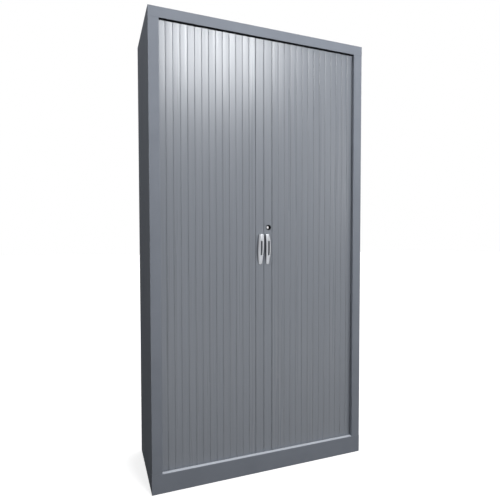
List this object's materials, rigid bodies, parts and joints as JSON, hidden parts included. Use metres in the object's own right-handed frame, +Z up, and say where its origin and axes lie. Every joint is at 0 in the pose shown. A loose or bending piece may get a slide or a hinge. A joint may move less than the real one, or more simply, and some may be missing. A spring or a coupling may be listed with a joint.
{
  "type": "tambour door cabinet",
  "caption": "Tall steel office cupboard with two tambour shutters of upright slats that slide apart into the side walls, with pull handles, a cam lock and shelves.",
  "frame": {"origin": "middle of the footprint on the floor, under the levelling feet", "axes": "+Z up along the height, -Y out of the front, +X to the right seen from the front"},
  "size_m": [1, 0.42, 1.98],
  "materials": {
    "casing": "fine satin powder coat, blue-grey",
    "inner_panels": "fine satin powder coat, blue-grey",
    "shelf_steel": "fine satin powder coat, blue-grey",
    "tracks": "black low-friction plastic",
    "slats": "semi-gloss extruded plastic with a fine lengthwise grain",
    "leading_slats": "semi-gloss extruded plastic",
    "handles": "bright satin plated",
    "lock_ring": "glossy black",
    "lock_metal": "plated",
    "lock_inner": "zinc plated",
    "clips": "zinc plated",
    "fasteners": "zinc plated",
    "feet": "black moulded",
    "stops": "black rubber"
  },
  "bodies": {
    "carcass": {"left_side_panel": "casing", "right_side_panel": "casing", "back_panel": "casing", "top_panel": "casing", "ceiling_panel": "inner_panels", "base_panel": "inner_panels", "plinth": "casing", "left_liner": "inner_panels", "right_liner": "inner_panels", "top_track": "tracks", "bottom_track": "tracks", "shelf_1": "shelf_steel", "shelf_2": "shelf_steel", "shelf_3": "shelf_steel", "shelf_4": "shelf_steel", "shelf_clips": "clips", "levelling_feet": "feet", "track_screws": "fasteners", "track_stops": "stops"},
    "left_leading": {"left_leading_slat": "leading_slats", "left_handle": "handles", "left_handle_screws": "fasteners", "keeper": "lock_inner", "keeper_screws": "fasteners"},
    "right_leading": {"right_leading_slat": "leading_slats", "right_handle": "handles", "right_handle_screws": "fasteners", "lock_housing": "lock_ring", "lock_nut": "lock_inner"},
    "lock": {"lock_barrel": "lock_metal", "lock_hook": "lock_inner", "lock_hook_screw": "fasteners"},
    "left_slat_01": {"left_slat_01": "slats"},
    "left_slat_02": {"left_slat_02": "slats"},
    "left_slat_03": {"left_slat_03": "slats"},
    "left_slat_04": {"left_slat_04": "slats"},
    "left_slat_05": {"left_slat_05": "slats"},
    "left_slat_06": {"left_slat_06": "slats"},
    "left_slat_07": {"left_slat_07": "slats"},
    "left_slat_08": {"left_slat_08": "slats"},
    "left_slat_09": {"left_slat_09": "slats"},
    "left_slat_10": {"left_slat_10": "slats"},
    "left_slat_11": {"left_slat_11": "slats"},
    "left_slat_12": {"left_slat_12": "slats"},
    "left_slat_13": {"left_slat_13": "slats"},
    "left_slat_14": {"left_slat_14": "slats"},
    "right_slat_01": {"right_slat_01": "slats"},
    "right_slat_02": {"right_slat_02": "slats"},
    "right_slat_03": {"right_slat_03": "slats"},
    "right_slat_04": {"right_slat_04": "slats"},
    "right_slat_05": {"right_slat_05": "slats"},
    "right_slat_06": {"right_slat_06": "slats"},
    "right_slat_07": {"right_slat_07": "slats"},
    "right_slat_08": {"right_slat_08": "slats"},
    "right_slat_09": {"right_slat_09": "slats"},
    "right_slat_10": {"right_slat_10": "slats"},
    "right_slat_11": {"right_slat_11": "slats"},
    "right_slat_12": {"right_slat_12": "slats"},
    "right_slat_13": {"right_slat_13": "slats"},
    "right_slat_14": {"right_slat_14": "slats"}
  },
  "joints": [
    {"name": "left_shutter_slide", "type": "slide", "parent": "carcass", "child": "left_leading", "axis": [-1, 0, 0], "range_m": [0, 0.4], "deforming": ["left_slat_01", "left_slat_02", "left_slat_03", "left_slat_04", "left_slat_05", "left_slat_06", "left_slat_07", "left_slat_08", "left_slat_09", "left_slat_10", "left_slat_11", "left_slat_12", "left_slat_13", "left_slat_14"]},
    {"name": "right_shutter_slide", "type": "slide", "parent": "carcass", "child": "right_leading", "axis": [1, 0, 0], "range_m": [0, 0.4], "deforming": ["right_slat_01", "right_slat_02", "right_slat_03", "right_slat_04", "right_slat_05", "right_slat_06", "right_slat_07", "right_slat_08", "right_slat_09", "right_slat_10", "right_slat_11", "right_slat_12", "right_slat_13", "right_slat_14"]},
    {"name": "lock_turn", "type": "hinge", "parent": "right_leading", "child": "lock", "pos_m": [0.022, -0.1745, 1.108], "axis": [0, -1, 0], "range_deg": [0, 90]},
    {"name": "left_slat_01_slide", "type": "slide", "parent": "carcass", "child": "left_slat_01", "axis": [-1, 0, 0], "range_m": [0, 0.4002]},
    {"name": "left_slat_02_slide", "type": "slide", "parent": "carcass", "child": "left_slat_02", "axis": [-1, 0, 0], "range_m": [0, 0.3722]},
    {"name": "left_slat_03_slide", "type": "slide", "parent": "carcass", "child": "left_slat_03", "axis": [-1, 0, 0], "range_m": [0, 0.3442]},
    {"name": "left_slat_04_slide", "type": "slide", "parent": "carcass", "child": "left_slat_04", "axis": [-1, 0, 0], "range_m": [0, 0.3162]},
    {"name": "left_slat_05_slide", "type": "slide", "parent": "carcass", "child": "left_slat_05", "axis": [-1, 0, 0], "range_m": [0, 0.2882]},
    {"name": "left_slat_06_slide", "type": "slide", "parent": "carcass", "child": "left_slat_06", "axis": [-1, 0, 0], "range_m": [0, 0.2602]},
    {"name": "left_slat_07_slide", "type": "slide", "parent": "carcass", "child": "left_slat_07", "axis": [-1, 0, 0], "range_m": [0, 0.2322]},
    {"name": "left_slat_08_slide", "type": "slide", "parent": "carcass", "child": "left_slat_08", "axis": [-1, 0, 0], "range_m": [0, 0.2042]},
    {"name": "left_slat_09_slide", "type": "slide", "parent": "carcass", "child": "left_slat_09", "axis": [-1, 0, 0], "range_m": [0, 0.1762]},
    {"name": "left_slat_10_slide", "type": "slide", "parent": "carcass", "child": "left_slat_10", "axis": [-1, 0, 0], "range_m": [0, 0.1482]},
    {"name": "left_slat_11_slide", "type": "slide", "parent": "carcass", "child": "left_slat_11", "axis": [-1, 0, 0], "range_m": [0, 0.1202]},
    {"name": "left_slat_12_slide", "type": "slide", "parent": "carcass", "child": "left_slat_12", "axis": [-1, 0, 0], "range_m": [0, 0.0922]},
    {"name": "left_slat_13_slide", "type": "slide", "parent": "carcass", "child": "left_slat_13", "axis": [-1, 0, 0], "range_m": [0, 0.0642]},
    {"name": "left_slat_14_slide", "type": "slide", "parent": "carcass", "child": "left_slat_14", "axis": [-1, 0, 0], "range_m": [0, 0.0362]},
    {"name": "right_slat_01_slide", "type": "slide", "parent": "carcass", "child": "right_slat_01", "axis": [1, 0, 0], "range_m": [0, 0.4002]},
    {"name": "right_slat_02_slide", "type": "slide", "parent": "carcass", "child": "right_slat_02", "axis": [1, 0, 0], "range_m": [0, 0.3722]},
    {"name": "right_slat_03_slide", "type": "slide", "parent": "carcass", "child": "right_slat_03", "axis": [1, 0, 0], "range_m": [0, 0.3442]},
    {"name": "right_slat_04_slide", "type": "slide", "parent": "carcass", "child": "right_slat_04", "axis": [1, 0, 0], "range_m": [0, 0.3162]},
    {"name": "right_slat_05_slide", "type": "slide", "parent": "carcass", "child": "right_slat_05", "axis": [1, 0, 0], "range_m": [0, 0.2882]},
    {"name": "right_slat_06_slide", "type": "slide", "parent": "carcass", "child": "right_slat_06", "axis": [1, 0, 0], "range_m": [0, 0.2602]},
    {"name": "right_slat_07_slide", "type": "slide", "parent": "carcass", "child": "right_slat_07", "axis": [1, 0, 0], "range_m": [0, 0.2322]},
    {"name": "right_slat_08_slide", "type": "slide", "parent": "carcass", "child": "right_slat_08", "axis": [1, 0, 0], "range_m": [0, 0.2042]},
    {"name": "right_slat_09_slide", "type": "slide", "parent": "carcass", "child": "right_slat_09", "axis": [1, 0, 0], "range_m": [0, 0.1762]},
    {"name": "right_slat_10_slide", "type": "slide", "parent": "carcass", "child": "right_slat_10", "axis": [1, 0, 0], "range_m": [0, 0.1482]},
    {"name": "right_slat_11_slide", "type": "slide", "parent": "carcass", "child": "right_slat_11", "axis": [1, 0, 0], "range_m": [0, 0.1202]},
    {"name": "right_slat_12_slide", "type": "slide", "parent": "carcass", "child": "right_slat_12", "axis": [1, 0, 0], "range_m": [0, 0.0922]},
    {"name": "right_slat_13_slide", "type": "slide", "parent": "carcass", "child": "right_slat_13", "axis": [1, 0, 0], "range_m": [0, 0.0642]},
    {"name": "right_slat_14_slide", "type": "slide", "parent": "carcass", "child": "right_slat_14", "axis": [1, 0, 0], "range_m": [0, 0.0362]}
  ],
  "couplings": [
    {"joint": "left_slat_01_slide", "follows": "left_shutter_slide", "ratio": 1},
    {"joint": "left_slat_02_slide", "follows": "left_shutter_slide", "ratio": 0.93},
    {"joint": "left_slat_03_slide", "follows": "left_shutter_slide", "ratio": 0.86},
    {"joint": "left_slat_04_slide", "follows": "left_shutter_slide", "ratio": 0.79},
    {"joint": "left_slat_05_slide", "follows": "left_shutter_slide", "ratio": 0.72},
    {"joint": "left_slat_06_slide", "follows": "left_shutter_slide", "ratio": 0.65},
    {"joint": "left_slat_07_slide", "follows": "left_shutter_slide", "ratio": 0.58},
    {"joint": "left_slat_08_slide", "follows": "left_shutter_slide", "ratio": 0.51},
    {"joint": "left_slat_09_slide", "follows": "left_shutter_slide", "ratio": 0.44},
    {"joint": "left_slat_10_slide", "follows": "left_shutter_slide", "ratio": 0.37},
    {"joint": "left_slat_11_slide", "follows": "left_shutter_slide", "ratio": 0.3},
    {"joint": "left_slat_12_slide", "follows": "left_shutter_slide", "ratio": 0.23},
    {"joint": "left_slat_13_slide", "follows": "left_shutter_slide", "ratio": 0.16},
    {"joint": "left_slat_14_slide", "follows": "left_shutter_slide", "ratio": 0.09},
    {"joint": "right_slat_01_slide", "follows": "right_shutter_slide", "ratio": 1},
    {"joint": "right_slat_02_slide", "follows": "right_shutter_slide", "ratio": 0.93},
    {"joint": "right_slat_03_slide", "follows": "right_shutter_slide", "ratio": 0.86},
    {"joint": "right_slat_04_slide", "follows": "right_shutter_slide", "ratio": 0.79},
    {"joint": "right_slat_05_slide", "follows": "right_shutter_slide", "ratio": 0.72},
    {"joint": "right_slat_06_slide", "follows": "right_shutter_slide", "ratio": 0.65},
    {"joint": "right_slat_07_slide", "follows": "right_shutter_slide", "ratio": 0.58},
    {"joint": "right_slat_08_slide", "follows": "right_shutter_slide", "ratio": 0.51},
    {"joint": "right_slat_09_slide", "follows": "right_shutter_slide", "ratio": 0.44},
    {"joint": "right_slat_10_slide", "follows": "right_shutter_slide", "ratio": 0.37},
    {"joint": "right_slat_11_slide", "follows": "right_shutter_slide", "ratio": 0.3},
    {"joint": "right_slat_12_slide", "follows": "right_shutter_slide", "ratio": 0.23},
    {"joint": "right_slat_13_slide", "follows": "right_shutter_slide", "ratio": 0.16},
    {"joint": "right_slat_14_slide", "follows": "right_shutter_slide", "ratio": 0.09}
  ]
}
